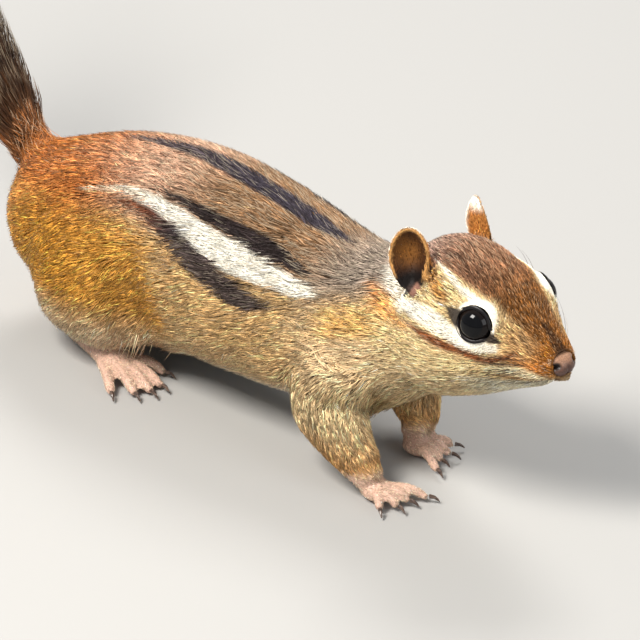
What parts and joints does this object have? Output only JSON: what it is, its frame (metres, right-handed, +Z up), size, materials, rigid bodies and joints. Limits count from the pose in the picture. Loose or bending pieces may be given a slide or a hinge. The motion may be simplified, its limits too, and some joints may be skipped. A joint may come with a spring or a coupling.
{
  "type": "chipmunk",
  "caption": "Life-size eastern chipmunk standing low on all fours, alert, with striped back, rusty rump and raised bushy tail.",
  "frame": {"origin": "centre of the bounding box at floor level", "axes": "+X towards the nose, +Y towards the animal's left side, +Z up; the feet stand on z = 0"},
  "size_m": [0.2098, 0.0498, 0.1034],
  "materials": {
    "coat_back": "short brown and grizzled fur",
    "coat_rump": "short rusty orange fur",
    "coat_side": "short golden tan fur with dark and cream stripes",
    "bare_skin": "pinkish skin with thin pale hair",
    "eye_black": "wet and near black",
    "nose_skin": "pinkish brown, slightly damp",
    "claw_horn": "dark horn"
  },
  "bodies": {
    "root": {"head": "coat_back", "neck": "coat_back", "chest": "coat_side", "loins": "coat_side", "rump": "coat_rump", "tail": "coat_back", "ear_left": "coat_side", "ear_right": "coat_side", "eye_left": "eye_black", "eye_right": "eye_black", "nose": "nose_skin", "foreleg_left": "coat_side", "foreleg_right": "coat_side", "forepaw_left": "bare_skin", "forepaw_right": "bare_skin", "hind_leg_left": "coat_rump", "hind_leg_right": "coat_rump", "hind_foot_left": "bare_skin", "hind_foot_right": "bare_skin", "forepaw_left_claw_1": "claw_horn", "forepaw_left_claw_2": "claw_horn", "forepaw_left_claw_3": "claw_horn", "forepaw_left_claw_4": "claw_horn", "hind_foot_left_claw_1": "claw_horn", "hind_foot_left_claw_2": "claw_horn", "hind_foot_left_claw_3": "claw_horn", "hind_foot_left_claw_4": "claw_horn", "hind_foot_left_claw_5": "claw_horn", "forepaw_right_claw_1": "claw_horn", "forepaw_right_claw_2": "claw_horn", "forepaw_right_claw_3": "claw_horn", "forepaw_right_claw_4": "claw_horn", "hind_foot_right_claw_1": "claw_horn", "hind_foot_right_claw_2": "claw_horn", "hind_foot_right_claw_3": "claw_horn", "hind_foot_right_claw_4": "claw_horn", "hind_foot_right_claw_5": "claw_horn"}
  },
  "joints": []
}
